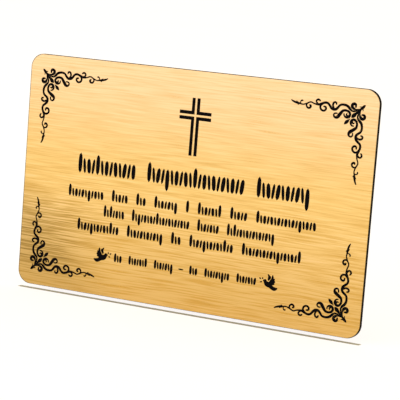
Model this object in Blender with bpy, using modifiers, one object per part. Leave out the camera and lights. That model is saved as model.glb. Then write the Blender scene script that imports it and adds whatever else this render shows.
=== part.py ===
"""A commemorative plaque: a brushed gold face sheet, cut through with its
design, bonded to a black core plate of the same outline.

Metres, +Z up. The plaque stands upright and faces -Y. The origin is at the
middle of the flat back that is fixed to a wall. The design is laid out on the
face as (across, up) from the middle of the plate.
"""

import math

import bpy
import bmesh
from mathutils import Vector
from mathutils.geometry import convex_hull_2d, delaunay_2d_cdt

# The laminate
PLATE_WIDTH = 0.160
PLATE_HEIGHT = 0.100
PLATE_THICKNESS = 0.0016
CORNER_RADIUS = 0.006
FACE_SHEET_THICKNESS = 0.0002
BOND_GAP = 0.0001

# The corner scrolls, drawn in modules of which 33 make the length of an arm
SCROLL_ARM = 0.033
SCROLL_MODULES = 33
SCROLL_SIDE_MARGIN = 0.0054
SCROLL_TOP_MARGIN = 0.0057

# The cross, of two lines in each direction
CROSS_HEIGHT = 0.0240
CROSS_SPAN = 0.0146
CROSS_LINE = 0.0013
CROSS_LINE_GAP = 0.0009
CROSS_ARM_DROP = 0.0073
CROSS_TOP_MARGIN = 0.0113

# The two doves, drawn in modules of which 8.5 make a length
DOVE_LENGTH = 0.0085
DOVE_MODULES = 8.5
DOVE_FROM_MIDDLE = 0.0389
DOVE_DROP = 0.0325

# The rows of engraver's strokes: a title, three lines of text and the last
# line between the doves. A foot is where a row's strokes stand, measured down
# from the top edge.
TITLE_FOOT = 0.0486
TITLE_LENGTH = 0.1095
TITLE_STROKE = 0.0062
TITLE_TALL_STROKE = 0.0085
TITLE_STROKE_WIDTH = 0.0027
TEXT_FOOT = 0.0590
TEXT_SPACING = 0.0070
TEXT_LENGTH = 0.1166
SECOND_TEXT_LENGTH = 0.0810
THIRD_TEXT_LENGTH = 0.1058
TEXT_STROKE = 0.0035
TEXT_TALL_STROKE = 0.0052
TEXT_STROKE_WIDTH = 0.0018
LAST_FOOT = 0.0846
LAST_LENGTH = 0.0678
LAST_STROKE = 0.0029
LAST_TALL_STROKE = 0.0037
LAST_STROKE_WIDTH = 0.0016

# How many strokes make up each group of a row, and which group of the last row is a dash
TITLE_GROUPS = (7, 11, 6)
TEXT_GROUPS = (6, 3, 2, 4, 1, 4, 3, 9)
SECOND_TEXT_GROUPS = (4, 10, 4, 8)
THIRD_TEXT_GROUPS = (7, 6, 2, 7, 9)
LAST_GROUPS = (2, 4, 4, 1, 2, 5, 4)
DASH_GROUP = 3
GROUP_GAP_IN_STROKES = 0.75

# The kinds of stroke, as how far one leans and how far it hangs below its
# foot, both in strokes
STROKE_KINDS = ((0.0, 0.0), (0.16, 0.0), (-0.12, 0.0), (0.0, 0.0), (0.08, 0.42))

# How finely curves are stepped, the vine's swings in modules
WAVE_STEP = 1.3
CORNER_STEPS = 5
MERGE_DISTANCE = 2e-6

GOLD = (0.92, 0.62, 0.24, 1.0)
BLACK = (0.006, 0.005, 0.007, 1.0)


def blend(values, share):
    """The value that lies a share of the way along a row of evenly spaced values."""
    place = share * (len(values) - 1)
    index = min(int(place), len(values) - 2)
    return values[index] + (values[index + 1] - values[index]) * (place - index)


def arc(centre, radii, angles, widths, steps):
    """Stations round a turn: (across, down, width), at angles counted upward from the right."""
    stations = []
    for step in range(steps + 1):
        share = step / steps
        angle = math.radians(blend(angles, share))
        radius = blend(radii, share)
        stations.append(
            (
                centre[0] + radius * math.cos(angle),
                centre[1] - radius * math.sin(angle),
                blend(widths, share),
            )
        )
    return stations


def wave(turns, step_length):
    """Stations along a line that swings level at each of its turns."""
    stations = [turns[0]]
    for start, end in zip(turns, turns[1:]):
        steps = max(1, round(math.dist(start[:2], end[:2]) / step_length))
        for step in range(1, steps + 1):
            share = step / steps
            swing = (1 - math.cos(math.pi * share)) / 2
            stations.append(
                (
                    start[0] + (end[0] - start[0]) * share,
                    start[1] + (end[1] - start[1]) * swing,
                    start[2] + (end[2] - start[2]) * share,
                )
            )
    return stations


def ribbon(stations):
    """The convex pieces of a stroke whose width changes from station to station."""
    sides = []
    for index, (across, down, width) in enumerate(stations):
        before = stations[max(index - 1, 0)]
        after = stations[min(index + 1, len(stations) - 1)]
        along = Vector((after[0] - before[0], after[1] - before[1])).normalized()
        half = Vector((-along.y, along.x)) * width / 2
        middle = Vector((across, down))
        sides.append((middle + half, middle - half))
    return [hull([*a, *b]) for a, b in zip(sides, sides[1:])]


def hull(corners):
    """The corners of the smallest convex piece that holds them all, in order."""
    return [corners[index] for index in convex_hull_2d(corners)]


def hook(joint, centre, radius, end_angle, width):
    """A hook that rises from the vine and rolls over to the left."""
    turn = arc(centre, (radius, radius * 0.95), (-25, end_angle), (width, width * 0.85), 4)
    return ribbon([(joint[0], joint[1], width * 0.9)] + turn)


def bud(start, length, width):
    """A bud with hollow shoulders that lies on the diagonal, thin end first."""
    shares = ((0.0, 0.12), (0.3, 0.3), (0.48, 0.92), (0.62, 1.0), (0.82, 0.75), (1.0, 0.1))
    step = length / math.sqrt(2)
    return ribbon([(start + step * s, start + step * s, width * w) for s, w in shares])


def scroll_arm():
    """The vine, hooks and spirals of one arm, in modules from the ornament's own corner."""
    vine = (
        (3.3, 2.95, 0.2), (5.9, 3.55, 0.65), (9.1, 1.45, 0.9), (10.5, 1.4, 0.9), (13.3, 3.65, 1.0),
        (14.2, 3.65, 1.0), (17.0, 1.4, 0.9), (17.9, 1.4, 0.9), (20.95, 2.6, 0.65), (23.85, 1.8, 0.6),
        (27.15, 3.05, 0.5), (28.9, 2.95, 0.6),
    )
    curl_tail = [(2.3, 2.1, 0.7), (3.5, 2.72, 0.5), (4.6, 2.8, 0.6)]
    curl = arc((5.4, 1.5), (1.2, 0.92, 0.92, 0.85), (-75, 198), (0.85, 1.15, 1.15, 0.7), 6)
    scroll_body = [(11.5, 5.65, 1.45), (10.65, 4.35, 1.35), (9.2, 3.55, 0.9)]
    ring = arc((12.9, 5.9), (0.92, 0.92), (125, -135), (0.3, 0.45, 0.7, 1.15), 6)
    roll = arc((8.15, 5.0), (1.4, 1.25, 1.2, 1.25), (92, 374), (0.75, 0.7, 1.15, 0.7, 0.2), 7)
    inner_tip = ((7.7, 4.35, 0.2), (8.4, 4.9, 0.35), (8.35, 5.6, 0.45))
    tip_leaf = ((28.4, 3.0, 0.5), (29.8, 2.75, 0.85), (31.1, 2.45, 0.65), (32.9, 1.5, 0.12))
    strokes = [
        ribbon(wave(vine, WAVE_STEP)),
        ribbon(curl_tail + curl),
        ribbon(ring + scroll_body + roll),
        ribbon(inner_tip),
        ribbon(tip_leaf),
        [[(28.8, 2.6), (30.5, 1.85), (29.9, 2.8)]],
        [[(28.4, 3.1), (29.5, 2.9), (29.9, 3.85)]],
        ribbon([(2.0, 1.6, 0.45), (3.3, 1.6, 0.25)]),
        hook((13.75, 3.5), (13.65, 1.5), 0.83, 195, 0.7),
        hook((20.0, 2.5), (20.8, 1.3), 0.85, 155, 0.62),
        hook((28.3, 2.95), (27.75, 2.2), 0.65, 145, 0.5),
        ribbon(arc((18.2, 3.55), (1.85, 1.25, 0.95, 0.6), (50, -260), (0.75, 0.68), 6)),
        ribbon(arc((24.55, 3.55), (1.45, 0.98, 0.85, 0.5), (42, -260), (0.65, 0.65), 6)),
    ]
    return [piece for stroke in strokes for piece in stroke]


def corner_scroll():
    """One whole corner ornament: an arm, its mirror image, and what lies on the diagonal."""
    arm = scroll_arm()
    mirrored = [[(down, across) for across, down in piece] for piece in arm]
    finial = ribbon([(0.75, 0.75, 0.5), (1.1, 1.1, 0.95), (1.8, 1.8, 0.9), (2.6, 2.6, 0.9), (3.1, 3.1, 0.3)])
    return arm + mirrored + finial + bud(3.1, 4.6, 2.0) + bud(6.7, 3.4, 1.85)


def on_corners(pieces):
    """The ornament's pieces set into the four corners of the face."""
    module = SCROLL_ARM / SCROLL_MODULES
    placed = []
    corner_x = PLATE_WIDTH / 2 - SCROLL_SIDE_MARGIN
    corner_z = PLATE_HEIGHT / 2 - SCROLL_TOP_MARGIN
    for side in (-1, 1):
        for level in (-1, 1):
            for piece in pieces:
                placed.append(
                    [
                        (side * (corner_x - across * module), level * (corner_z - down * module))
                        for across, down in piece
                    ]
                )
    return placed


def cross():
    """Four right-angled lines that leave a fine cross of the face between them."""
    top = PLATE_HEIGHT / 2 - CROSS_TOP_MARGIN
    arm_height = top - CROSS_ARM_DROP
    near = CROSS_LINE_GAP / 2
    far = near + CROSS_LINE
    pieces = []
    for side in (-1, 1):
        for level, end in ((1, top), (-1, top - CROSS_HEIGHT)):
            near_z = arm_height + level * near
            far_z = arm_height + level * far
            upright = [(side * near, near_z), (side * far, near_z), (side * far, end), (side * near, end)]
            reach = side * CROSS_SPAN / 2
            beam = [(side * near, near_z), (reach, near_z), (reach, far_z), (side * near, far_z)]
            pieces += [upright, beam]
    return pieces


def dove():
    """A dove with raised wings and a sprig at its beak, in modules from its middle, facing right."""
    body = (
        (-4.0, 2.0, 0.3), (-3.35, 2.26, 1.08), (-2.6, 2.4, 1.5), (-1.7, 2.15, 1.5), (-0.7, 1.43, 1.7),
        (0.2, 1.0, 2.1), (0.95, 0.63, 2.1), (1.45, 0.1, 1.5), (1.62, -0.5, 1.36), (1.7, -1.0, 0.6),
    )
    beak = ((2.05, -0.42, 0.95), (2.7, -0.26, 0.16))
    far_wing = (
        ((-1.55, -3.05, 0.4), (-1.58, -2.2, 0.84), (-1.5, -1.4, 1.1), (-1.1, -0.4, 1.45), (-0.55, 0.6, 1.6)),
        ((-2.6, -1.65, 0.4), (-2.0, -1.0, 1.0), (-0.8, 0.8, 1.4)),
        ((-2.75, -0.5, 0.6), (-1.9, -0.1, 1.0), (-1.0, 0.7, 1.3)),
        ((-2.6, 0.45, 0.4), (-1.7, 0.5, 0.9), (-0.9, 1.0, 1.3)),
    )
    near_wing = (
        (0.48, -3.3, 0.3), (0.12, -2.6, 0.78), (-0.22, -2.1, 1.26), (-0.06, -1.6, 1.05), (0.17, -0.65, 0.4),
    )
    sprig = (
        ((2.82, -1.65, 0.3), (2.82, -1.3, 0.56), (2.82, -0.98, 0.3)),
        ((3.5, -0.8, 0.25), (3.9, -1.1, 0.6), (4.3, -1.35, 0.25)),
        ((2.95, 0.1, 0.3), (3.4, 0.26, 0.58), (3.85, 0.3, 0.3)),
    )
    lines = (body, beak, near_wing, *far_wing, *sprig)
    return [piece for line in lines for piece in ribbon(line)]


def doves():
    """The pair of doves, one at each end of the last row, facing each other."""
    module = DOVE_LENGTH / DOVE_MODULES
    return [
        [(side * (DOVE_FROM_MIDDLE - across * module), -DOVE_DROP - down * module) for across, down in piece]
        for side in (-1, 1)
        for piece in dove()
    ]


def leaf(low, high, width):
    """A leaf-shaped cut of the engraver's tool, pointed at both ends."""
    low = Vector(low)
    high = Vector(high)
    along = (high - low).normalized()
    half = Vector((along.y, -along.x)) * width / 2
    middle = (low + high) / 2
    return [tuple(low), tuple(middle + half), tuple(high), tuple(middle - half)]


def stroke_row(number, foot_drop, length, groups, stroke, tall_stroke, width, dash=None):
    """A row of upright, leaning, tall and hanging strokes in groups, centred on the face."""
    places = sum(groups) + GROUP_GAP_IN_STROKES * (len(groups) - 1)
    pitch = length / places
    foot = PLATE_HEIGHT / 2 - foot_drop
    left = -length / 2
    marks = []
    for group, count in enumerate(groups):
        for index in range(count):
            across = left + pitch * (index + 0.5)
            if group == dash:
                level = foot + stroke / 2
                marks.append(leaf((across - pitch / 2, level), (across + pitch / 2, level), width))
                continue
            kind = (index * 2 + group * 3 + number) % len(STROKE_KINDS)
            lean, hang = STROKE_KINDS[kind]
            head = foot + (stroke if index else tall_stroke)
            shift = lean * stroke / 2
            marks.append(leaf((across - shift, foot - hang * stroke), (across + shift, head), width))
        left += pitch * (count + GROUP_GAP_IN_STROKES)
    return marks


def stroke_rows():
    """All the rows of strokes, from the title down to the last line."""
    title = (TITLE_STROKE, TITLE_TALL_STROKE, TITLE_STROKE_WIDTH)
    text = (TEXT_STROKE, TEXT_TALL_STROKE, TEXT_STROKE_WIDTH)
    last = (LAST_STROKE, LAST_TALL_STROKE, LAST_STROKE_WIDTH)
    third_foot = TEXT_FOOT + 2 * TEXT_SPACING
    return (
        stroke_row(0, TITLE_FOOT, TITLE_LENGTH, TITLE_GROUPS, *title)
        + stroke_row(1, TEXT_FOOT, TEXT_LENGTH, TEXT_GROUPS, *text)
        + stroke_row(2, TEXT_FOOT + TEXT_SPACING, SECOND_TEXT_LENGTH, SECOND_TEXT_GROUPS, *text)
        + stroke_row(3, third_foot, THIRD_TEXT_LENGTH, THIRD_TEXT_GROUPS, *text)
        + stroke_row(4, LAST_FOOT, LAST_LENGTH, LAST_GROUPS, *last, dash=DASH_GROUP)
    )


def plate_outline():
    """The rounded outline that the face sheet and the core plate share."""
    outline = []
    for quarter, (side, level) in enumerate(((1, 1), (-1, 1), (-1, -1), (1, -1))):
        middle = (
            side * (PLATE_WIDTH / 2 - CORNER_RADIUS),
            level * (PLATE_HEIGHT / 2 - CORNER_RADIUS),
        )
        for step in range(CORNER_STEPS + 1):
            angle = math.radians(90 * (quarter + step / CORNER_STEPS))
            outline.append(
                (
                    middle[0] + CORNER_RADIUS * math.cos(angle),
                    middle[1] + CORNER_RADIUS * math.sin(angle),
                )
            )
    return outline


def turned_left(piece):
    """The piece with its corners counted anticlockwise."""
    area = sum(a[0] * b[1] - b[0] * a[1] for a, b in zip(piece, piece[1:] + piece[:1]))
    return piece if area > 0 else piece[::-1]


def face_left_by(outline, cuts):
    """The flat face with the cuts taken out, as (points, triangles)."""
    points = []
    faces = []
    for piece in [outline] + cuts:
        faces.append(list(range(len(points), len(points) + len(piece))))
        points += [Vector(point) for point in turned_left(piece)]
    made, _, triangles, _, _, owners = delaunay_2d_cdt(points, [], faces, 1, MERGE_DISTANCE)
    kept = [triangle for triangle, owner in zip(triangles, owners) if set(owner) == {0}]
    return made, kept


def face_sheet(cuts, material):
    """The gold sheet: the face that the cuts leave, given its thickness."""
    points, triangles = face_left_by(plate_outline(), cuts)
    front = -PLATE_THICKNESS
    sheet = bmesh.new()
    verts = [sheet.verts.new((point.x, front, point.y)) for point in points]
    for triangle in triangles:
        sheet.faces.new([verts[index] for index in triangle])
    bmesh.ops.delete(sheet, geom=[vert for vert in sheet.verts if not vert.link_faces], context="VERTS")
    drop_loose_islands(sheet)
    bmesh.ops.recalc_face_normals(sheet, faces=sheet.faces)
    if sheet.faces[0].normal.y > 0:
        bmesh.ops.reverse_faces(sheet, faces=sheet.faces)
    mesh = bpy.data.meshes.new("gold_face_sheet")
    sheet.to_mesh(mesh)
    sheet.free()
    made = bpy.data.objects.new("gold_face_sheet", mesh)
    thickness = made.modifiers.new("Sheet thickness", "SOLIDIFY")
    thickness.thickness = FACE_SHEET_THICKNESS
    thickness.offset = -1
    thickness.use_even_offset = False
    mesh.materials.append(material)
    return made


def drop_loose_islands(sheet):
    """Take out what a closed cut frees: the sheet is all that still holds to its border."""
    border = max(sheet.verts, key=lambda vert: vert.co.x).link_faces[0]
    held = {border}
    waiting = [border]
    while waiting:
        for edge in waiting.pop().edges:
            for face in edge.link_faces:
                if face not in held:
                    held.add(face)
                    waiting.append(face)
    bmesh.ops.delete(sheet, geom=[face for face in sheet.faces if face not in held], context="FACES")


def core_plate(material):
    """The black plate behind the sheet, cut to the same outline."""
    curve = bpy.data.curves.new("black_core_plate", "CURVE")
    curve.dimensions = "2D"
    curve.fill_mode = "BOTH"
    depth = PLATE_THICKNESS - FACE_SHEET_THICKNESS - BOND_GAP
    curve.extrude = depth / 2
    outline = plate_outline()
    spline = curve.splines.new("POLY")
    spline.points.add(len(outline) - 1)
    for point, (across, up) in zip(spline.points, outline):
        point.co = (across, up, 0, 1)
    spline.use_cyclic_u = True
    made = bpy.data.objects.new("black_core_plate", curve)
    made.rotation_euler = (math.radians(90), 0, 0)
    made.location = (0, -depth / 2, 0)
    curve.materials.append(material)
    return made


def finish(name, colour, metallic, roughness):
    """A plain surface finish."""
    material = bpy.data.materials.new(name)
    material.use_nodes = True
    shader = material.node_tree.nodes["Principled BSDF"]
    shader.inputs["Base Color"].default_value = colour
    shader.inputs["Metallic"].default_value = metallic
    shader.inputs["Roughness"].default_value = roughness
    return material


def main():
    for thing in list(bpy.data.objects):
        bpy.data.objects.remove(thing, do_unlink=True)
    parts = bpy.data.collections.new("Commemorative plaque")
    bpy.context.scene.collection.children.link(parts)
    cuts = on_corners(corner_scroll()) + cross() + doves() + stroke_rows()
    parts.objects.link(core_plate(finish("Black core", BLACK, 0.0, 0.35)))
    parts.objects.link(face_sheet(cuts, finish("Brushed gold", GOLD, 1.0, 0.3)))


main()
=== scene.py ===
"""The looks of a commemorative plaque: a brushed gold face sheet, cut through with
its design, on a black core plate, on a pale studio floor.

Metres, +Z up. The plaque stands upright and faces -Y. The origin is at the middle
of its flat back. The design is laid out on the face as (across, up) from the middle.
"""

import math

import bmesh
import bpy
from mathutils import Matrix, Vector
from mathutils.geometry import convex_hull_2d, delaunay_2d_cdt


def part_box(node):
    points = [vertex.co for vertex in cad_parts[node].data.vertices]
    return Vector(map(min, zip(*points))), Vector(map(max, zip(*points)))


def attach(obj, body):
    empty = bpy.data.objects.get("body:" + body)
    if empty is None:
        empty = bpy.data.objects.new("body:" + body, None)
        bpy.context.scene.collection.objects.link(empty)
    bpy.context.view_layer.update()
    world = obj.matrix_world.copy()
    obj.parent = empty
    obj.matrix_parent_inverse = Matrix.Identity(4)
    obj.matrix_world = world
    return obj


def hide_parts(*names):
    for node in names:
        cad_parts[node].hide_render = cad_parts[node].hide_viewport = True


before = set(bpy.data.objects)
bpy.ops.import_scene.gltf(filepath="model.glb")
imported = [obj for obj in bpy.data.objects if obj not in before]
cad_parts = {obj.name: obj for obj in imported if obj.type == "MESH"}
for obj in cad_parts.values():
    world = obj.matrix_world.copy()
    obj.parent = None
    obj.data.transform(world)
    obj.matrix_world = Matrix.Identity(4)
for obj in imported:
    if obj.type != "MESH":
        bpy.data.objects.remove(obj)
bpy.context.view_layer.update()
SHEET_LOW, SHEET_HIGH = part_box("gold_face_sheet")
CORE_LOW, CORE_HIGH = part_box("black_core_plate")

bl_info = {
    "name": "Commemorative plaque",
    "version": (1, 0, 0),
    "blender": (4, 5, 0),
    "location": "3D View > Sidebar > Plaque",
    "description": "Models and finishes a two-layer engraved plaque",
    "category": "Add Mesh",
}

# Shares and counts that belong to the way the strokes are drawn
SCROLL_MODULES = 33
DOVE_MODULES = 8.5
GROUP_GAP_IN_STROKES = 0.75
COMPANION_WIDTH = 0.7
KERF_IN_MODULES = 0.11
THINNEST_IN_MODULES = 0.04
STROKE_BLUNTNESS = 0.3
LENS_STEPS = 9
TIP_STEPS = 10
TIP_FROM_WIDTH = 0.3

# How close two points are when they count as one, or as lying on the outline
MERGE_DISTANCE = 2e-6
OUTLINE_REACH = 2e-5
TRIANGLES_INSIDE = 1

# How finely the plates are rounded, and which faces count as flat or as a side
CORNER_SEGMENTS = 24
RIM_SEGMENTS = 3
SMOOTH_ANGLE = math.radians(30)
FLAT_NORMAL = 0.9
SIDE_NORMAL = 0.1

# Places in the pieces' lists of materials
BACK_SLOT = 1
WALL_SLOT = 1

# The rows of engraver's strokes: where a row's feet stand, measured down from
# the top edge, its length, the height of its tall and low strokes, their width,
# how many strokes make up each group, and which group, if any, is a dash
STROKE_ROWS = (
    {
        "foot": 0.0487, "length": 0.1095, "height": 0.0087, "low": 0.0066, "width": 0.0019,
        "groups": (7, 11, 6),
    },
    {
        "foot": 0.0591, "length": 0.1166, "height": 0.0053, "low": 0.0036, "width": 0.0014,
        "groups": (6, 3, 2, 4, 1, 4, 3, 9),
    },
    {
        "foot": 0.0661, "length": 0.0810, "height": 0.0053, "low": 0.0036, "width": 0.0013,
        "groups": (4, 10, 4, 8),
    },
    {
        "foot": 0.0731, "length": 0.1058, "height": 0.0053, "low": 0.0036, "width": 0.0014,
        "groups": (7, 6, 2, 7, 9),
    },
    {
        "foot": 0.0847, "length": 0.0678, "height": 0.0040, "low": 0.0032, "width": 0.0012,
        "groups": (2, 4, 4, 1, 2, 5, 4), "dash": 3,
    },
)

# The kinds of stroke, the order in which they follow each other, how far that
# order moves on from stroke to stroke and from group to group, how much of its
# height a stroke leans, and how much of it hangs below the row
UPRIGHT, LEANING, LEANING_BACK, TALL, HANGING = range(5)
STROKE_ORDER = (
    UPRIGHT, LEANING, LEANING_BACK, UPRIGHT, TALL, LEANING, UPRIGHT, HANGING, LEANING_BACK,
)
ORDER_STEP = 2
ORDER_STEP_OF_GROUP = 3
LEAN = {LEANING: 0.10, LEANING_BACK: -0.08}
HANG = 0.42

# Heights on the face, up from its middle, between which the gold changes: out of the painted shade at the
# foot, and into the paler painted sheen at the head
FOOT_SHADE_TO_MIDDLE = (-0.046, 0.004)
MIDDLE_TO_HEAD_SHEEN = (0.0, 0.048)

# The layers of the brushing: the share of each, its length and height in
# streaks, its place in the noise and how finely it is broken up
BRUSHING_LAYERS = (
    {"share": 0.75, "lengths": 1.0, "heights": 1.0, "seed": 11.0, "detail": 3.0},
    {"share": 0.3, "lengths": 2.0, "heights": 3.5, "seed": 23.0, "detail": 3.0},
    {"share": 0.9, "lengths": 1.2, "heights": 0.6, "seed": 37.0, "detail": 1.0},
)
BRUSHING_SWAY = {"length": 0.040, "height": 0.018, "seed": 3.0, "detail": 1.0}
SWAY_REACH = 0.0018
STREAK_ROUGHNESS = 0.55

# How strongly the brushing shows at the foot, middle and head and in the patch
# of darker streaks at the lower left
LOW_FADE = (-0.040, 0.010)
LOW_DEPTH = 0.9
HEAD_FADE = (0.0, 0.035)
MIDDLE_DEPTH = 0.9
HEAD_DEPTH = 0.6
PATCH_DEPTH = 1.1

# Where that patch lies: its height, how it fades up and down, and to the right
PATCH_HEIGHT = -0.028
PATCH_FADE = (0.006, 0.024)
PATCH_REACH = (-0.068, -0.032)

# How the brushing becomes deeper and paler lines and a rougher finish, and how brown darkens its streaks
# in the lower-left patch, with painted shade over that patch and in the lowest left corner
SHADE_RANGE = (-0.45, 0.25)
MOST_SHADE = 0.75
LIGHT_RANGE = (0.04, 0.40)
MOST_LIGHT = 0.5
ROUGHNESS_IN_BRUSHING = 0.25
BROWN_STREAK_CONTRAST = 4.0
BROWN_STREAK_START = 0.5
BROWN_IN_STREAKS = 0.45
PAINTED_SHADE_IN_PATCH = 0.08
# Where the painted shade in the lowest left corner fades, and how deep it goes
CORNER_SHADE_FADE = (-0.110, -0.070)
CORNER_PAINTED_SHADE = 0.24

# Scales of the fine patterns, per metre, and how finely each is broken up
SOOT_SPECKS = {"scale": 9000.0, "detail": 2.0}
CORE_SPECKS = {"scale": 2500.0, "detail": 3.0}
CORE_RIDGES = {"Scale": 900.0, "Distortion": 1.5, "Detail": 1.0}
BACK_CLOUDS = {"scale": 60.0, "detail": 4.0}
BACK_PEBBLES_SCALE = 1400.0
FLOOR_CLOUDS = {"scale": 3.0, "detail": 2.0}
NOISE_MIDDLE = (0.3, 0.7)

# How far those patterns lighten, roughen and raise their surfaces
CORE_LIFT = 3
CORE_ROUGHNESS_IN_SPECKS = 0.2
RIDGES_IN_SPECKS = 0.5
BACK_LIFTS = (4, 8)
BACK_ROUGHNESS = (0.34, 0.46)
SOOT_ROUGHNESS = (0.35, 0.6)
FLOOR_DIMMING = 0.985
FLOOR_ROUGHNESS = 0.9
BRUSHING_BUMP = {"strength": 0.25, "distance": 0.00004}
CORE_BUMP = {"strength": 0.3, "distance": 0.00003}
BACK_BUMP = {"strength": 0.35, "distance": 0.00004}

# The sockets of a colour Mix node: the share, the two colours and the result
MIX_SHARE, MIX_FIRST, MIX_SECOND, MIX_RESULT = 0, 6, 7, 2


def length_property(name, description, default):
    """A length in metres that the sidebar shows in the scene's units."""
    return bpy.props.FloatProperty(
        name=name, description=description, default=default, min=0.0, unit="LENGTH", precision=5
    )


def share_property(name, description, default):
    """A share from none to all."""
    return bpy.props.FloatProperty(
        name=name, description=description, default=default, min=0.0, max=1.0, subtype="FACTOR"
    )


def strength_property(name, description, default):
    """A strength from none upwards."""
    return bpy.props.FloatProperty(name=name, description=description, default=default, min=0.0)


def angle_property(name, description, degrees):
    """An angle, given in degrees and kept in radians."""
    return bpy.props.FloatProperty(
        name=name, description=description, default=math.radians(degrees), unit="ROTATION"
    )


def colour_property(name, description, default):
    """A linear colour."""
    return bpy.props.FloatVectorProperty(
        name=name, description=description, default=default, size=3, min=0.0, max=1.0, subtype="COLOR"
    )


def place_property(name, description, default):
    """A place in metres."""
    return bpy.props.FloatVectorProperty(
        name=name, description=description, default=default, subtype="XYZ", unit="LENGTH"
    )


class PlaqueDesignSettings(bpy.types.PropertyGroup):
    """Sizes of the plate and of the design that is cut in it."""

    corner_radius: length_property("Corner radius", "Radius of the plate's four corners", 0.006)
    rim_rounding: length_property("Rim rounding", "Width of the eased edge of the core plate", 0.00006)
    face_chamfer: length_property("Face chamfer", "Width of the cut edge at the sheet's sides", 0.00018)
    scorch_width: length_property("Scorch width", "Width of the soot on the face there", 0.00027)
    wall_step: length_property("Curve step", "Longest straight step along a curved stroke", 0.00028)
    scroll_arm: length_property("Scroll arm", "Length of one arm of a corner scroll", 0.033)
    scroll_side_margin: length_property("Scroll side margin", "From a side to a scroll", 0.0054)
    scroll_top_margin: length_property("Scroll top margin", "From the top or foot to a scroll", 0.0057)
    cross_height: length_property("Cross height", "Height of the cross", 0.0240)
    cross_span: length_property("Cross span", "Width of the cross across its arms", 0.0146)
    cross_line: length_property("Cross line", "Width of each line of the cross", 0.00144)
    cross_line_gap: length_property("Cross line gap", "Gold left between those lines", 0.00084)
    cross_arm_drop: length_property("Cross arm drop", "From the top of the cross to its arms", 0.0073)
    cross_top_margin: length_property("Cross top margin", "From the plate's top to the cross", 0.0113)
    dove_length: length_property("Dove length", "Length of a dove with its sprig", 0.0085)
    dove_from_middle: length_property("Dove from middle", "From the plate's middle to a dove", 0.0389)
    dove_drop: length_property("Dove drop", "From the plate's middle down to the doves", 0.0325)


class PlaqueFinishSettings(bpy.types.PropertyGroup):
    """Colours and finishes of the two layers."""

    # The gold at the foot is darkened as painted shade, and the gold at the head is paled as a painted
    # sheen
    gold_foot_painted_shade: colour_property("Gold at the foot", "Gold of the lowest part", (0.745, 0.479, 0.157))
    gold_middle: colour_property("Gold in the middle", "Gold of the middle", (0.93, 0.632, 0.233))
    gold_head_painted_sheen: colour_property("Gold at the head", "Paler gold of the upper part", (0.985, 0.708, 0.418))
    gold_shade: colour_property("Gold shade", "Deeper gold in the brushing", (0.57, 0.305, 0.045))
    gold_light: colour_property("Gold light", "Pale gold of its brighter lines", (1.0, 0.70, 0.40))
    # Brown for the darker streaks at the lower left, also mixed in as painted shade over that patch and at
    # the lowest left corner
    gold_brown_and_painted_shade: colour_property("Gold tarnish", "Brown of the darker streaks", (0.30, 0.19, 0.055))
    gold_roughness: share_property("Gold roughness", "How much the face blurs what it mirrors", 0.34)
    gold_anisotropy: share_property("Gold brushing", "How much it stretches highlights", 0.6)
    streak_length: length_property("Streak length", "Length of a brushed streak", 0.018)
    streak_height: length_property("Streak height", "Height of a brushed streak", 0.0009)
    core_black: colour_property("Core black", "Black of the core plate", (0.0016, 0.0013, 0.0020))
    core_roughness: share_property("Core roughness", "Roughness of the engraved core", 0.6)
    core_gloss: share_property("Core gloss", "Gloss of the engraved core", 0.04)
    soot: colour_property("Soot", "Brown-black specks of the cut walls", (0.010, 0.007, 0.004))
    soot_gloss: share_property("Soot gloss", "Gloss of the cut walls", 0.05)


class PlaqueStageSettings(bpy.types.PropertyGroup):
    """The floor, the lights and the camera."""

    floor_gap: length_property("Floor gap", "From the plaque's foot down to the floor", 0.0020)
    floor_size: length_property("Floor size", "Side of the square floor", 60.0)
    floor_colour: colour_property("Floor colour", "Colour of the pale floor", (0.93, 0.925, 0.935))
    backdrop_strength: strength_property("Backdrop strength", "Brightness past the floor", 1.1)
    sky_colour: colour_property("Sky colour", "Colour of the room all round", (1.0, 0.86, 0.52))
    sky_strength: strength_property("Sky strength", "Brightness of the room all round", 0.5)
    overhead_colour: colour_property("Overhead colour", "Colour of the light above", (0.93, 0.93, 1.0))
    overhead_strength: strength_property("Overhead strength", "Strength of the light above", 2.5)
    overhead_spread: angle_property("Overhead spread", "How wide the light above looks", 0.5)
    overhead_tilt: angle_property("Overhead tilt", "How far it leans from straight above", 0.9)
    soft_box_place: place_property("Soft box place", "Where the soft box hangs", (-1.45, -3.0, 0.75))
    soft_box_width: length_property("Soft box width", "Width of the soft box", 2.4)
    soft_box_height: length_property("Soft box height", "Height of the soft box", 1.4)
    soft_box_power: strength_property("Soft box power", "Power of the soft box", 16.5)
    camera_place: place_property("Camera place", "Where the camera stands", (0.3249, -0.6650, 0.0971))
    camera_turn: bpy.props.FloatVectorProperty(
        name="Camera turn",
        description="How the camera is turned",
        default=(math.radians(82.236), math.radians(-4.416), math.radians(26.340)),
        subtype="EULER",
        unit="ROTATION",
    )
    camera_lens: bpy.props.FloatProperty(
        name="Camera lens", description="Focal length of the camera", default=162.1, unit="CAMERA"
    )


def flowing(stations, step_length):
    """The stations, all widened by the tool's kerf, with a smooth curve run through them."""
    stations = [(across, down, width + KERF_IN_MODULES) for across, down, width in stations]
    ends = [Vector(stations[0])] + [Vector(station) for station in stations] + [Vector(stations[-1])]
    made = [tuple(stations[0])]
    for before, start, end, after in zip(ends, ends[1:], ends[2:], ends[3:]):
        steps = max(1, math.ceil((end.xy - start.xy).length / step_length))
        for step in range(1, steps + 1):
            share = step / steps
            point = (
                2 * start
                + (end - before) * share
                + (2 * before - 5 * start + 4 * end - after) * share**2
                + (3 * start - before - 3 * end + after) * share**3
            ) / 2
            made.append((point.x, point.y, max(point.z, THINNEST_IN_MODULES)))
    return made


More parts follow.
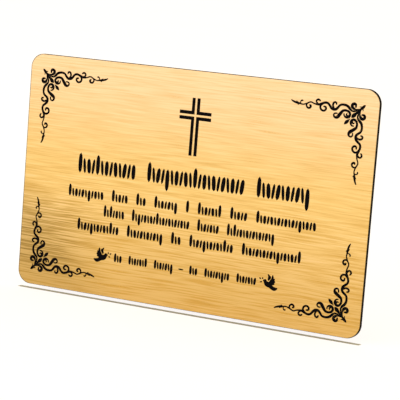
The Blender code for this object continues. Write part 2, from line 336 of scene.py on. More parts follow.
def ribbon(stations):
    """The convex pieces of a stroke whose width changes from station to station, with round ends."""
    sides = []
    for index, (across, down, width) in enumerate(stations):
        before = stations[max(index - 1, 0)]
        after = stations[min(index + 1, len(stations) - 1)]
        along = Vector((after[0] - before[0], after[1] - before[1])).normalized()
        half = Vector((-along.y, along.x)) * width / 2
        middle = Vector((across, down))
        sides.append((middle + half, middle - half))
    pieces = [hull([*a, *b]) for a, b in zip(sides, sides[1:])]
    return pieces + [round_tip(end) for end in (stations[0], stations[-1]) if end[2] > TIP_FROM_WIDTH]


def hull(corners):
    """The corners of the smallest convex piece that holds them all, in order."""
    return [corners[index] for index in convex_hull_2d(corners)]


def round_tip(station):
    """A disc as wide as the stroke, to round off its end."""
    across, down, width = station
    turn = 2 * math.pi / TIP_STEPS
    return [
        Vector((across + width / 2 * math.cos(turn * step), down + width / 2 * math.sin(turn * step)))
        for step in range(TIP_STEPS)
    ]


def scroll_arm(step):
    """The vine, hooks and spirals of one arm, in modules from the ornament's own corner.

    Each stroke is a list of stations along it, as (across, down, width).
    """
    vine = (
        (3.0, 2.85, 0.2), (4.7, 3.45, 0.6), (6.0, 3.58, 0.7), (7.0, 2.95, 0.95), (7.6, 2.3, 1.05),
        (8.5, 1.7, 1.0), (10.0, 1.45, 0.88), (11.4, 1.8, 0.84), (12.7, 3.32, 1.0), (13.7, 3.72, 1.05),
        (14.9, 3.4, 1.0), (16.3, 1.8, 0.88), (17.4, 1.43, 0.9), (18.6, 1.72, 0.86), (20.4, 2.43, 0.88),
        (22.2, 2.37, 0.52), (24.0, 1.83, 0.5), (25.8, 2.65, 0.55), (27.3, 3.1, 0.43), (28.5, 2.9, 0.6),
    )
    leaf = (
        (28.5, 2.9, 0.6), (29.3, 2.8, 0.85), (30.6, 2.58, 0.78), (31.7, 2.2, 0.62), (32.4, 1.82, 0.3),
    )
    curl = (
        (2.6, 2.45, 0.4), (3.5, 2.72, 0.5), (4.6, 2.78, 0.48), (5.4, 2.6, 0.95), (6.1, 2.1, 1.15),
        (6.32, 1.4, 1.2), (5.95, 0.8, 1.15), (5.35, 0.63, 1.1), (4.8, 0.95, 0.95), (4.7, 1.85, 0.6),
    )
    roll = (
        (12.4, 5.15, 0.45), (12.95, 5.12, 0.56), (13.6, 5.4, 0.58), (13.8, 6.0, 0.62),
        (13.45, 6.6, 0.8), (12.75, 6.83, 0.98), (12.0, 6.45, 1.3), (11.35, 5.55, 1.32),
        (10.2, 4.02, 1.06), (9.4, 3.66, 0.92), (8.5, 3.62, 0.88), (7.6, 3.95, 0.9),
        (7.0, 4.6, 0.95), (6.92, 5.3, 1.0), (7.3, 6.0, 0.98), (8.1, 6.35, 0.88),
        (8.9, 6.15, 0.72), (9.4, 5.6, 0.55), (9.45, 5.05, 0.48),
    )
    tongue = ((7.75, 5.9, 1.1), (8.2, 5.6, 0.75), (8.42, 5.15, 0.56), (8.2, 4.78, 0.34))
    hooks = (
        (
            (13.9, 3.5, 0.9), (14.33, 2.6, 0.72), (14.43, 1.8, 0.78), (14.15, 1.1, 0.76),
            (13.6, 0.8, 0.75), (13.1, 1.05, 0.68), (12.98, 1.5, 0.6),
        ),
        (
            (20.7, 2.3, 0.6), (21.35, 1.85, 0.65), (21.63, 1.3, 0.68), (21.4, 0.75, 0.7),
            (20.8, 0.5, 0.74), (20.25, 0.7, 0.62), (20.03, 0.95, 0.5),
        ),
        (
            (28.35, 2.8, 0.5), (28.38, 2.2, 0.36), (28.2, 1.78, 0.48), (27.8, 1.58, 0.58),
            (27.48, 1.63, 0.46),
        ),
    )
    spirals = (
        (
            (18.6, 1.75, 0.8), (19.35, 2.3, 0.85), (19.77, 3.1, 0.8), (19.6, 4.0, 0.78),
            (18.95, 4.6, 0.77), (18.1, 4.7, 0.77), (17.45, 4.25, 0.8), (17.27, 3.6, 0.8),
            (17.6, 3.12, 0.72), (18.2, 3.03, 0.62),
        ),
        (
            (25.0, 2.2, 0.5), (25.6, 2.7, 0.6), (25.76, 3.3, 0.62), (25.45, 3.98, 0.68),
            (24.8, 4.33, 0.72), (24.15, 4.1, 0.8), (23.87, 3.55, 0.85), (24.0, 3.2, 0.7),
            (24.32, 3.12, 0.58),
        ),
    )
    barbs = (((29.0, 2.5), (30.15, 1.88), (30.3, 2.4)), ((28.6, 3.1), (29.4, 3.65), (29.9, 3.0)))
    lines = (vine, leaf, curl, roll, tongue, *hooks, *spirals)
    strokes = [piece for line in lines for piece in ribbon(flowing(line, step))]
    return strokes + [[Vector(corner) for corner in barb] for barb in barbs]


def corner_scroll(step):
    """One whole corner ornament: an arm, its mirror image, and what lies on the diagonal."""
    spur = ((1.9, 1.55, 0.5), (2.5, 1.6, 0.42), (3.1, 1.62, 0.34))
    finial = ((0.95, 0.6), (1.2, 0.95), (1.6, 1.08), (2.1, 0.95), (2.7, 0.8), (3.2, 0.35))
    inner_bud = (
        (3.2, 0.3), (3.75, 0.5), (4.1, 0.85), (4.5, 1.05), (5.15, 1.62), (5.6, 1.34), (5.9, 0.85),
        (6.25, 0.12),
    )
    outer_bud = (
        (6.7, 0.12), (7.0, 0.28), (7.3, 0.64), (7.7, 1.12), (8.05, 1.34), (8.45, 1.15), (8.8, 0.72),
        (9.05, 0.2),
    )
    arm = scroll_arm(step) + ribbon(spur)
    mirrored = [[Vector((down, across)) for across, down in piece] for piece in arm]
    diagonal = []
    for line in (finial, inner_bud, outer_bud):
        diagonal += ribbon(flowing([(place, place, width) for place, width in line], step))
    return arm + mirrored + diagonal


def on_corners(design):
    """The scroll's pieces set into the four corners of the face."""
    module = design.scroll_arm / SCROLL_MODULES
    pieces = corner_scroll(design.wall_step / module)
    corner_x = SHEET_HIGH[0] - design.scroll_side_margin
    corner_z = SHEET_HIGH[2] - design.scroll_top_margin
    return [
        [
            (side * (corner_x - across * module), level * (corner_z - down * module))
            for across, down in piece
        ]
        for side in (-1, 1)
        for level in (-1, 1)
        for piece in pieces
    ]


def cross(design):
    """Four right-angled lines that leave a fine cross of the face between them."""
    top = SHEET_HIGH[2] - design.cross_top_margin
    arm_height = top - design.cross_arm_drop
    near = design.cross_line_gap / 2
    far = near + design.cross_line
    pieces = []
    for side in (-1, 1):
        for level, end in ((1, top), (-1, top - design.cross_height)):
            near_x = side * near
            far_x = side * far
            near_z = arm_height + level * near
            far_z = arm_height + level * far
            reach = side * design.cross_span / 2
            pieces.append([(near_x, near_z), (far_x, near_z), (far_x, end), (near_x, end)])
            pieces.append([(near_x, near_z), (reach, near_z), (reach, far_z), (near_x, far_z)])
    return pieces


def dove(step):
    """A dove with raised wings and a sprig at its beak, in modules from its middle, facing right."""
    body = (
        (-3.82, 2.02, 0.45), (-3.35, 2.26, 1.08), (-2.6, 2.4, 1.5), (-1.7, 2.15, 1.5),
        (-0.7, 1.43, 1.7), (0.2, 1.0, 2.1), (0.95, 0.63, 2.1), (1.45, 0.1, 1.5), (1.66, -0.4, 1.36),
    )
    beak = ((2.05, -0.42, 0.95), (2.66, -0.26, 0.16))
    far_wing = (
        (
            (-1.55, -2.8, 0.56), (-1.58, -2.2, 0.84), (-1.5, -1.4, 1.1), (-1.1, -0.4, 1.45),
            (-0.55, 0.6, 1.6),
        ),
        ((-2.35, -1.5, 0.55), (-2.0, -1.0, 1.0), (-1.4, -0.1, 1.4), (-0.8, 0.8, 1.4)),
        ((-2.38, -0.45, 0.88), (-1.9, -0.1, 1.0), (-1.0, 0.7, 1.3)),
        ((-2.3, 0.45, 0.6), (-1.7, 0.5, 0.9), (-0.9, 1.0, 1.3)),
    )
    near_wing = (
        (0.42, -3.08, 0.44), (0.12, -2.6, 0.78), (-0.22, -2.1, 1.26),
        (-0.06, -1.6, 1.05), (0.15, -1.15, 0.84), (0.17, -0.9, 0.58),
    )
    sprig = (
        ((2.82, -1.4, 0.52), (2.82, -1.22, 0.52)),
        ((3.7, -0.94, 0.38), (3.9, -1.1, 0.58), (4.12, -1.24, 0.38)),
        ((3.18, 0.14, 0.36), (3.4, 0.26, 0.56), (3.68, 0.3, 0.38)),
    )
    lines = (body, beak, near_wing, *far_wing, *sprig)
    return [piece for line in lines for piece in ribbon(flowing(line, step))]


def doves(design):
    """The pair of doves, one at each end of the last row, facing each other."""
    module = design.dove_length / DOVE_MODULES
    pieces = dove(design.wall_step / module)
    return [
        [
            (side * (design.dove_from_middle - across * module), -design.dove_drop - down * module)
            for across, down in piece
        ]
        for side in (-1, 1)
        for piece in pieces
    ]


def lens(low, high, width):
    """A leaf-shaped stroke of the engraver's tool between two points, pointed at both."""
    low = Vector(low)
    high = Vector(high)
    along = (high - low).normalized()
    half = Vector((-along.y, along.x)) * width / 2
    right = []
    left = []
    for step in range(1, LENS_STEPS):
        share = step / LENS_STEPS
        swell = math.sin(math.pi * share) ** STROKE_BLUNTNESS
        middle = low.lerp(high, share)
        right.append(tuple(middle - half * swell))
        left.append(tuple(middle + half * swell))
    return [tuple(low)] + right + [tuple(high)] + left[::-1]


def stroke_mark(row, across, foot, kind):
    """One main stroke of a row: upright, leaning, tall or hanging."""
    low = row["low"]
    lean = LEAN.get(kind, 0.0) * low
    head = foot + (row["height"] if kind == TALL else low)
    heel = foot - (HANG * low if kind == HANGING else 0.0)
    return lens((across - lean / 2, heel), (across + lean / 2, head), row["width"])


def stroke_row(row, number):
    """A row of strokes in groups, centred on the face, with a finer stroke between each two."""
    groups = row["groups"]
    low = row["low"]
    places = sum(groups) + GROUP_GAP_IN_STROKES * (len(groups) - 1)
    pitch = row["length"] / places
    foot = SHEET_HIGH[2] - row["foot"]
    left = -row["length"] / 2
    marks = []
    for group, count in enumerate(groups):
        for index in range(count):
            across = left + pitch * (index + 0.5)
            if group == row.get("dash"):
                level = foot + low / 2
                ends = [(across - pitch / 2, level), (across + pitch / 2, level)]
                marks.append(lens(*ends, row["width"] / 2))
                continue
            order = index * ORDER_STEP + group * ORDER_STEP_OF_GROUP + number
            kind = STROKE_ORDER[order % len(STROKE_ORDER)] if index else TALL
            marks.append(stroke_mark(row, across, foot, kind))
            if index:
                between = across - pitch / 2
                lean = LEAN[LEANING] * low * (-1) ** index / 2
                finer = COMPANION_WIDTH * row["width"]
                marks.append(lens((between - lean, foot), (between + lean, foot + low), finer))
        left += pitch * (count + GROUP_GAP_IN_STROKES)
    return marks


def plate_outline(design):
    """The rounded outline that the face sheet and the core plate share."""
    outline = []
    radius = design.corner_radius
    steps = math.ceil(math.pi / 2 * radius / design.wall_step)
    for quarter, (side, level) in enumerate(((1, 1), (-1, 1), (-1, -1), (1, -1))):
        middle = (side * (SHEET_HIGH[0] - radius), level * (SHEET_HIGH[2] - radius))
        for step in range(steps + 1):
            angle = math.radians(90 * (quarter + step / steps))
            outline.append((middle[0] + radius * math.cos(angle), middle[1] + radius * math.sin(angle)))
    return outline


def on_front_side(point, design):
    """Whether a point lies on the outer edge of the sheet's front, at a side or round a corner."""
    radius = design.corner_radius
    over_x = max(abs(point.x) - SHEET_HIGH[0] + radius, 0.0)
    over_z = max(abs(point.z) - SHEET_HIGH[2] + radius, 0.0)
    on_outline = abs(math.hypot(over_x, over_z) - radius) < OUTLINE_REACH
    return over_x > 0 and on_outline and abs(point.y - SHEET_LOW[1]) < OUTLINE_REACH


def turned_left(piece):
    """The piece with its corners counted anticlockwise."""
    area = sum(a[0] * b[1] - b[0] * a[1] for a, b in zip(piece, piece[1:] + piece[:1]))
    return piece if area > 0 else piece[::-1]


def face_left_by(outline, cuts):
    """The flat face with the cuts taken out, as (points, triangles)."""
    points = []
    faces = []
    for piece in [outline] + cuts:
        faces.append(list(range(len(points), len(points) + len(piece))))
        points += [Vector(point) for point in turned_left(piece)]
    made, _, triangles, _, _, owners = delaunay_2d_cdt(
        points, [], faces, TRIANGLES_INSIDE, MERGE_DISTANCE
    )
    kept = [triangle for triangle, owner in zip(triangles, owners) if set(owner) == {0}]
    return made, kept


def drop_loose_islands(sheet):
    """Take out what a closed cut frees: the sheet is all that still holds to its border."""
    border = max(sheet.verts, key=lambda vert: vert.co.x).link_faces[0]
    held = {border}
    waiting = [border]
    while waiting:
        for edge in waiting.pop().edges:
            for face in edge.link_faces:
                if face not in held:
                    held.add(face)
                    waiting.append(face)
    bmesh.ops.delete(sheet, geom=[face for face in sheet.faces if face not in held], context="FACES")


def cut_face(design):
    """The front of the face sheet as a flat mesh, with the whole design cut out of it."""
    cuts = on_corners(design) + cross(design) + doves(design)
    for number, row in enumerate(STROKE_ROWS):
        cuts += stroke_row(row, number)
    points, triangles = face_left_by(plate_outline(design), cuts)
    front = SHEET_LOW[1]
    face = bmesh.new()
    verts = [face.verts.new((point.x, front, point.y)) for point in points]
    for triangle in triangles:
        face.faces.new([verts[index] for index in triangle])
    unused = [vert for vert in face.verts if not vert.link_faces]
    bmesh.ops.delete(face, geom=unused, context="VERTS")
    drop_loose_islands(face)
    bmesh.ops.recalc_face_normals(face, faces=face.faces)
    face.faces.ensure_lookup_table()
    if face.faces[0].normal.y > 0:
        bmesh.ops.reverse_faces(face, faces=face.faces)
    mesh = bpy.data.meshes.new("gold_engraved_sheet")
    face.to_mesh(mesh)
    face.free()
    return mesh


def deselect_all():
    """Leaves no object selected."""
    bpy.ops.object.select_all(action="DESELECT")


def only(piece):
    """Selects this piece alone and makes it the active one."""
    deselect_all()
    piece.select_set(True)
    bpy.context.view_layer.objects.active = piece


def apply_modifier(piece, kind, **settings):
    """Adds a modifier with these settings and applies it."""
    only(piece)
    modifier = piece.modifiers.new(kind.title(), kind)
    for key, value in settings.items():
        setattr(modifier, key, value)
    bpy.ops.object.modifier_apply(modifier=modifier.name)


def select_parts(piece, kind, wanted):
    """In edit mode, selects the edges or faces that the test wants, and no others."""
    bpy.ops.mesh.select_mode(type=kind)
    bpy.ops.mesh.select_all(action="DESELECT")
    mesh = bmesh.from_edit_mesh(piece.data)
    for part in mesh.edges if kind == "EDGE" else mesh.faces:
        if wanted(part):
            part.select_set(True)
    bmesh.update_edit_mesh(piece.data)


def on_rim(edge):
    """Whether an edge of the core plate lies between its side and its front or back."""
    levels = [abs(face.normal.y) for face in edge.link_faces]
    return max(levels) > FLAT_NORMAL and min(levels) < SIDE_NORMAL


def opaque(colour, lift=1.0):
    """A colour with full cover, lightened by this factor."""
    return tuple(part * lift for part in colour) + (1.0,)


def new_material(name):
    """A new material with its node tree, its shader and the place on the object."""
    material = bpy.data.materials.new(name)
    material.use_nodes = True
    tree = material.node_tree
    place = node(tree, "ShaderNodeTexCoord").outputs["Object"]
    return material, tree, tree.nodes["Principled BSDF"], place


def set_inputs(shader, **values):
    """Sets the shader's own sockets, named with underscores for spaces."""
    for key, value in values.items():
        shader.inputs[key.replace("_", " ")].default_value = value


def link_inputs(tree, shader, **values):
    """Links patterns to the shader's sockets, named with underscores for spaces."""
    for key, value in values.items():
        tree.links.new(value, shader.inputs[key.replace("_", " ")])


def node(tree, kind, inputs=None, **settings):
    """A node with these settings, its inputs given as values or as other nodes' outputs."""
    made = tree.nodes.new(kind)
    for key, value in settings.items():
        setattr(made, key, value)
    for key, value in (inputs or {}).items():
        if isinstance(value, bpy.types.NodeSocket):
            tree.links.new(value, made.inputs[key])
        else:
            made.inputs[key].default_value = value
    return made


def maths(tree, operation, first, second=0.0, third=0.0):
    """The result of one sum on values or sockets."""
    return node(tree, "ShaderNodeMath", {0: first, 1: second, 2: third}, operation=operation).outputs[0]


def remap(tree, value, low, high, to_low, to_high):
    """The value moved smoothly from one range to another and held inside it."""
    inputs = {"Value": value, "From Min": low, "From Max": high, "To Min": to_low, "To Max": to_high}
    return node(tree, "ShaderNodeMapRange", inputs, interpolation_type="SMOOTHSTEP").outputs["Result"]


def mixed(tree, share, first, second):
    """Two colours mixed by a share."""
    inputs = {MIX_SHARE: share, MIX_FIRST: first, MIX_SECOND: second}
    return node(tree, "ShaderNodeMix", inputs, data_type="RGBA").outputs[MIX_RESULT]


def noise(tree, place, scale, detail):
    """Cloudy noise, from none to one about a half."""
    inputs = {"Vector": place, "Scale": scale, "Detail": detail}
    return node(tree, "ShaderNodeTexNoise", inputs).outputs["Fac"]


def streaks(tree, place, length, height, seed, detail):
    """Noise drawn out along the brushing, from none to one about a half."""
    inputs = {
        "Vector": place,
        "Location": (seed, seed, seed),
        "Scale": (1 / length, 1 / length, 1 / height),
    }
    scaled = node(tree, "ShaderNodeMapping", inputs).outputs["Vector"]
    inputs = {"Vector": scaled, "Scale": 1.0, "Detail": detail, "Roughness": STREAK_ROUGHNESS}
    return node(tree, "ShaderNodeTexNoise", inputs).outputs["Fac"]


def bump(tree, height, strength, distance):
    """The surface's direction where a pattern raises it."""
    inputs = {"Strength": strength, "Distance": distance, "Height": height}
    return node(tree, "ShaderNodeBump", inputs).outputs["Normal"]


def beyond(tree, value, limit):
    """How far the size of a value goes beyond a limit, or none."""
    return maths(tree, "MAXIMUM", maths(tree, "SUBTRACT", maths(tree, "ABSOLUTE", value), limit), 0.0)


def scorched_side(tree, across, up, design):
    """The share of soot on the face's last hair's breadth at its sides and round its corners."""
    radius = design.corner_radius
    over_x = beyond(tree, across, SHEET_HIGH[0] - radius)
    over_z = beyond(tree, up, SHEET_HIGH[2] - radius)
    squares = maths(tree, "MULTIPLY_ADD", over_x, over_x, maths(tree, "MULTIPLY", over_z, over_z))
    inside = maths(tree, "SUBTRACT", radius, maths(tree, "SQRT", squares))
    near = remap(tree, inside, design.face_chamfer, design.face_chamfer + design.scorch_width, 1.0, 0.0)
    return maths(tree, "MULTIPLY", near, remap(tree, over_x, 0.0, radius / 2, 0.0, 1.0))


def brushing(tree, place, across, up, finish):
    """The brushed pattern, about none: soft waving streaks, broad bands and fine hairlines."""
    sway = maths(tree, "SUBTRACT", streaks(tree, place, **BRUSHING_SWAY), 0.5)
    sway = maths(tree, "MULTIPLY", sway, SWAY_REACH)
    waved = node(tree, "ShaderNodeCombineXYZ", {"X": across, "Z": maths(tree, "ADD", up, sway)}).outputs[0]
    pattern = 0.0
    for layer in BRUSHING_LAYERS:
        length = finish.streak_length * layer["lengths"]
        height = finish.streak_height * layer["heights"]
        lines = streaks(tree, waved, length, height, layer["seed"], layer["detail"])
        lines = maths(tree, "SUBTRACT", lines, 0.5)
        pattern = maths(tree, "MULTIPLY_ADD", lines, layer["share"], pattern)
    return pattern


def streaked_patch(tree, across, up):
    """How far a point lies in the patch of darker streaks at the lower left, which is also darkened as
    painted shade.
    """
    from_patch = maths(tree, "ABSOLUTE", maths(tree, "SUBTRACT", up, PATCH_HEIGHT))
    level = remap(tree, from_patch, *PATCH_FADE, 1.0, 0.0)
    return maths(tree, "MULTIPLY", level, remap(tree, across, *PATCH_REACH, 1.0, 0.0))


def brushing_depth(tree, up, patch):
    """How strongly the brushing shows: most towards the foot and in the patch."""
    low = remap(tree, up, *LOW_FADE, 1.0, 0.0)
    depth = remap(tree, up, *HEAD_FADE, MIDDLE_DEPTH, HEAD_DEPTH)
    depth = maths(tree, "MULTIPLY_ADD", low, LOW_DEPTH, depth)
    return maths(tree, "MULTIPLY_ADD", patch, PATCH_DEPTH, depth)


def brown_streaks_and_painted_shade(tree, across, up, pattern, patch):
    """The share of brown: in the patch's streaks, and as painted shade over the whole patch and at the
    lowest left corner.
    """
    streaked = maths(tree, "MULTIPLY_ADD", pattern, -BROWN_STREAK_CONTRAST, BROWN_STREAK_START)
    streaked = maths(tree, "MAXIMUM", streaked, 0.0)
    # The even share added through the patch is painted shade, not streaks
    share = maths(tree, "MULTIPLY_ADD", streaked, BROWN_IN_STREAKS, PAINTED_SHADE_IN_PATCH)
    # Painted shade darkening the lowest left corner
    corner = remap(tree, maths(tree, "ADD", across, up), *CORNER_SHADE_FADE, CORNER_PAINTED_SHADE, 0.0)
    return maths(tree, "MULTIPLY_ADD", share, patch, corner)


def brushed_gold(finish, design):
    """Gold brushed along its length, darkened towards the foot by painted shade and paled towards the head
    by a painted sheen, with soot at the cut sides.
    """
    material, tree, shader, place = new_material("Brushed gold")
    parts = node(tree, "ShaderNodeSeparateXYZ", {"Vector": place})
    across = parts.outputs["X"]
    up = parts.outputs["Z"]
    pattern = brushing(tree, place, across, up, finish)
    patch = streaked_patch(tree, across, up)
    shade = maths(tree, "MULTIPLY", pattern, brushing_depth(tree, up, patch))
    # middle: the share out of the painted shade at the foot, which also lets the pale lines show; head:
    # the share of the painted sheen at the head
    middle = remap(tree, up, *FOOT_SHADE_TO_MIDDLE, 0.0, 1.0)
    head = remap(tree, up, *MIDDLE_TO_HEAD_SHEEN, 0.0, 1.0)
    deeper = remap(tree, shade, *SHADE_RANGE, MOST_SHADE, 0.0)
    paler = maths(tree, "MULTIPLY", remap(tree, shade, *LIGHT_RANGE, 0.0, MOST_LIGHT), middle)
    brown_and_painted_shade = brown_streaks_and_painted_shade(tree, across, up, pattern, patch)
    scorched = scorched_side(tree, across, up, design)
    # The gold runs from painted shade at the foot to a painted sheen at the head; brushing, brown with
    # painted shade at the lower left, and soot go over it
    gold = mixed(tree, middle, opaque(finish.gold_foot_painted_shade), opaque(finish.gold_middle))
    for share, colour in (
        (head, finish.gold_head_painted_sheen),
        (deeper, finish.gold_shade),
        (paler, finish.gold_light),
        (brown_and_painted_shade, finish.gold_brown_and_painted_shade),
        (scorched, finish.core_black),
    ):
        gold = mixed(tree, share, gold, opaque(colour))
    roughness = maths(tree, "MULTIPLY_ADD", pattern, ROUGHNESS_IN_BRUSHING, finish.gold_roughness)
    normal = bump(tree, pattern, **BRUSHING_BUMP)
    tangent = node(tree, "ShaderNodeTangent", direction_type="UV_MAP").outputs["Tangent"]
    link_inputs(tree, shader, Base_Color=gold, Roughness=roughness, Normal=normal, Tangent=tangent)
    set_inputs(shader, Metallic=1.0, Anisotropic=finish.gold_anisotropy)
    return material


def cut_wall(finish):
    """The scorched wall that the cutting leaves round the sheet and in its marks."""
    material, tree, shader, place = new_material("Scorched cut wall")
    specks = noise(tree, place, **SOOT_SPECKS)
    colour = mixed(tree, specks, opaque(finish.core_black), opaque(finish.soot))
    roughness = remap(tree, specks, *NOISE_MIDDLE, *SOOT_ROUGHNESS)
    link_inputs(tree, shader, Base_Color=colour, Roughness=roughness)
    set_inputs(shader, Specular_IOR_Level=finish.soot_gloss)
    return material


def engraved_black(finish):
    """Black core plastic with the faint ridges that the engraving passes leave."""
    material, tree, shader, place = new_material("Engraved black")
    ridges = node(tree, "ShaderNodeTexWave", {"Vector": place, **CORE_RIDGES}, bands_direction="Z")
    specks = noise(tree, place, **CORE_SPECKS)
    colour = mixed(tree, specks, opaque(finish.core_black), opaque(finish.core_black, CORE_LIFT))
    roughness = maths(tree, "MULTIPLY_ADD", specks, CORE_ROUGHNESS_IN_SPECKS, finish.core_roughness)
    height = maths(tree, "MULTIPLY_ADD", ridges.outputs["Fac"], RIDGES_IN_SPECKS, specks)
    normal = bump(tree, height, **CORE_BUMP)
    link_inputs(tree, shader, Base_Color=colour, Roughness=roughness, Normal=normal)
    set_inputs(shader, Specular_IOR_Level=finish.core_gloss)
    return material


def moulded_back(finish):
    """The satin black of the board's plain back, finely pebbled as the plastic leaves its mould."""
    material, tree, shader, place = new_material("Moulded back")
    clouds = noise(tree, place, **BACK_CLOUDS)
    inputs = {"Vector": place, "Scale": BACK_PEBBLES_SCALE}
    pebbles = node(tree, "ShaderNodeTexVoronoi", inputs, feature="SMOOTH_F1").outputs["Distance"]
    dark, pale = (opaque(finish.core_black, lift) for lift in BACK_LIFTS)
    colour = mixed(tree, clouds, dark, pale)
    roughness = remap(tree, clouds, *NOISE_MIDDLE, *BACK_ROUGHNESS)
    normal = bump(tree, pebbles, **BACK_BUMP)
    link_inputs(tree, shader, Base_Color=colour, Roughness=roughness, Normal=normal)
    return material


def pale_floor(stage):
    """A plain pale floor with the least unevenness."""
    material, tree, shader, place = new_material("Pale floor")
    clouds = noise(tree, place, **FLOOR_CLOUDS)
    colour = mixed(tree, clouds, opaque(stage.floor_colour), opaque(stage.floor_colour, FLOOR_DIMMING))
    link_inputs(tree, shader, Base_Color=colour)
    set_inputs(shader, Roughness=FLOOR_ROUGHNESS, Specular_IOR_Level=0.0)
    return material


def pale_world(stage):
    """A dim warm room that lights the plaque, and a pale backdrop where the camera sees past it."""
    world = bpy.data.worlds.new("Pale studio")
    world.use_nodes = True
    tree = world.node_tree
    room = tree.nodes["Background"]
    set_inputs(room, Color=opaque(stage.sky_colour), Strength=stage.sky_strength)
    inputs = {"Color": opaque(stage.floor_colour), "Strength": stage.backdrop_strength}
    backdrop = node(tree, "ShaderNodeBackground", inputs)
    seen = node(tree, "ShaderNodeLightPath").outputs["Is Camera Ray"]
    both = node(tree, "ShaderNodeMixShader", {0: seen, 1: room.outputs[0], 2: backdrop.outputs[0]})
    tree.links.new(both.outputs[0], tree.nodes["World Output"].inputs["Surface"])
    return world


def add_floor(stage):
    """The floor, just below the plaque's foot."""
    deselect_all()
    level = CORE_LOW[2] - stage.floor_gap
    bpy.ops.mesh.primitive_plane_add(size=stage.floor_size, location=(0, 0, level))
    floor = bpy.context.active_object
    floor.name = "studio_floor"
    bpy.ops.object.transform_apply(location=True, rotation=True, scale=True)
    floor.data.materials.append(pale_floor(stage))


def add_overhead_light(stage):
    """A narrow light from almost straight above, which draws the thin shadow on the floor."""
    bpy.ops.object.light_add(type="SUN", location=(0, 0, 1))
    overhead = bpy.context.active_object
    overhead.name = "overhead_light"
    overhead.data.color = stage.overhead_colour
    overhead.data.energy = stage.overhead_strength
    overhead.data.angle = stage.overhead_spread
    overhead.rotation_euler.x = stage.overhead_tilt


def add_soft_box(stage):
    """A soft box that faces the plaque, is mirrored in its gold and isn't seen itself."""
    bpy.ops.object.light_add(type="AREA", location=stage.soft_box_place)
    soft_box = bpy.context.active_object
    soft_box.name = "soft_box"
    soft_box.data.shape = "RECTANGLE"
    soft_box.data.size = stage.soft_box_width
    soft_box.data.size_y = stage.soft_box_height
    soft_box.data.energy = stage.soft_box_power
    soft_box.rotation_euler = (-soft_box.location).to_track_quat("-Z", "Y").to_euler()
    soft_box.visible_camera = False


def add_camera(stage):
    """The camera, at the photograph's viewing angle."""
    bpy.ops.object.camera_add(location=stage.camera_place, rotation=stage.camera_turn)
    camera = bpy.context.active_object
    camera.name = "studio_camera"
    camera.data.lens = stage.camera_lens
    bpy.context.scene.camera = camera


class PLAQUE_OT_core_plate(bpy.types.Operator):
    """Adds the black core plate: a board with rounded corners and eased rims"""

    bl_idname = "plaque.core_plate"
    bl_label = "Add core plate"

    def execute(self, context):
        design = context.scene.plaque_design
        finish = context.scene.plaque_finish
        size = Vector(CORE_HIGH) - Vector(CORE_LOW)
        middle = (Vector(CORE_HIGH) + Vector(CORE_LOW)) / 2
        deselect_all()
        bpy.ops.mesh.primitive_cube_add(size=1.0, location=middle, scale=size)
        plate = context.active_object
        plate.name = "black_core_board"
        plate.data.name = plate.name
        bpy.ops.object.transform_apply(location=True, rotation=True, scale=True)
        bpy.ops.object.mode_set(mode="EDIT")
        select_parts(
            plate, "EDGE", lambda edge: abs(edge.verts[0].co.y - edge.verts[1].co.y) > size.y / 2
        )
        bpy.ops.mesh.bevel(
            offset=design.corner_radius, offset_type="OFFSET", segments=CORNER_SEGMENTS, affect="EDGES"
        )
        select_parts(plate, "EDGE", on_rim)
        bpy.ops.mesh.bevel(
            offset=design.rim_rounding, offset_type="OFFSET", segments=RIM_SEGMENTS, affect="EDGES"
        )
        bpy.ops.mesh.select_all(action="SELECT")
        bpy.ops.mesh.normals_make_consistent(inside=False)
        bpy.ops.object.mode_set(mode="OBJECT")
        bpy.ops.object.shade_smooth_by_angle(angle=SMOOTH_ANGLE)
        plate.data.materials.append(engraved_black(finish))
        plate.data.materials.append(moulded_back(finish))
        bpy.ops.object.mode_set(mode="EDIT")
        select_parts(plate, "FACE", lambda face: face.normal.y > FLAT_NORMAL)
        plate.active_material_index = BACK_SLOT
        bpy.ops.object.material_slot_assign()
        bpy.ops.object.mode_set(mode="OBJECT")
        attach(plate, "root")
        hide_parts("black_core_plate")
        return {"FINISHED"}


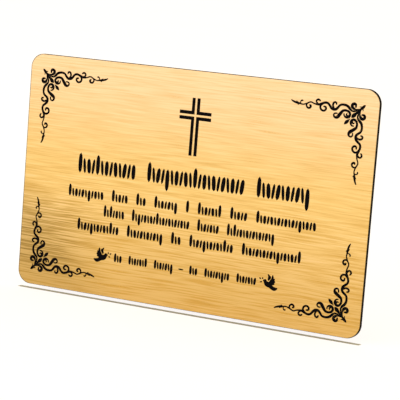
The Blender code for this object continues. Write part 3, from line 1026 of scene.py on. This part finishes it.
class PLAQUE_OT_face_sheet(bpy.types.Operator):
    """Adds the gold face sheet with the scrolls, cross, strokes and doves cut through it"""

    bl_idname = "plaque.face_sheet"
    bl_label = "Add face sheet"

    def execute(self, context):
        design = context.scene.plaque_design
        finish = context.scene.plaque_finish
        sheet = bpy.data.objects.new("gold_engraved_sheet", cut_face(design))
        context.scene.collection.objects.link(sheet)
        sheet.data.materials.append(brushed_gold(finish, design))
        sheet.data.materials.append(cut_wall(finish))
        apply_modifier(
            sheet,
            "SOLIDIFY",
            thickness=SHEET_HIGH[1] - SHEET_LOW[1],
            offset=-1,
            use_even_offset=False,
            material_offset_rim=WALL_SLOT,
        )
        only(sheet)
        bpy.ops.object.mode_set(mode="EDIT")
        select_parts(
            sheet, "EDGE", lambda edge: all(on_front_side(vert.co, design) for vert in edge.verts)
        )
        bpy.ops.mesh.bevel(
            offset=design.face_chamfer, offset_type="OFFSET", affect="EDGES", material=WALL_SLOT
        )
        bpy.ops.mesh.select_all(action="SELECT")
        bpy.ops.uv.cube_project(cube_size=SHEET_HIGH[0] - SHEET_LOW[0])
        bpy.ops.object.mode_set(mode="OBJECT")
        bpy.ops.object.shade_smooth_by_angle(angle=SMOOTH_ANGLE)
        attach(sheet, "root")
        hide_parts("gold_face_sheet")
        return {"FINISHED"}


class PLAQUE_OT_stage(bpy.types.Operator):
    """Adds the pale floor, the soft lights and the camera"""

    bl_idname = "plaque.stage"
    bl_label = "Set the stage"

    def execute(self, context):
        stage = context.scene.plaque_stage
        add_floor(stage)
        add_overhead_light(stage)
        add_soft_box(stage)
        context.scene.world = pale_world(stage)
        context.scene.view_settings.view_transform = "Standard"
        add_camera(stage)
        return {"FINISHED"}


class PLAQUE_PT_sidebar(bpy.types.Panel):
    """The plaque's pieces and their settings"""

    bl_idname = "PLAQUE_PT_sidebar"
    bl_label = "Commemorative plaque"
    bl_space_type = "VIEW_3D"
    bl_region_type = "UI"
    bl_category = "Plaque"

    def draw(self, context):
        for group in SETTINGS:
            settings = getattr(context.scene, group)
            box = self.layout.box()
            for name in settings.__annotations__:
                box.prop(settings, name)
        for operator in OPERATORS:
            self.layout.operator(operator.bl_idname)


SETTINGS = {
    "plaque_design": PlaqueDesignSettings,
    "plaque_finish": PlaqueFinishSettings,
    "plaque_stage": PlaqueStageSettings,
}
OPERATORS = (PLAQUE_OT_core_plate, PLAQUE_OT_face_sheet, PLAQUE_OT_stage)


def register():
    """Registers the settings, the operators and the panel."""
    for name, settings in SETTINGS.items():
        bpy.utils.register_class(settings)
        setattr(bpy.types.Scene, name, bpy.props.PointerProperty(type=settings))
    for operator in OPERATORS:
        bpy.utils.register_class(operator)
    bpy.utils.register_class(PLAQUE_PT_sidebar)


def unregister():
    """Takes out all that register put in."""
    bpy.utils.unregister_class(PLAQUE_PT_sidebar)
    for operator in reversed(OPERATORS):
        bpy.utils.unregister_class(operator)
    for name, settings in SETTINGS.items():
        delattr(bpy.types.Scene, name)
        bpy.utils.unregister_class(settings)


def main():
    """Adds the pieces and the stage in order."""
    register()
    bpy.ops.plaque.core_plate()
    bpy.ops.plaque.face_sheet()
    bpy.ops.plaque.stage()


if __name__ == "__main__":
    main()
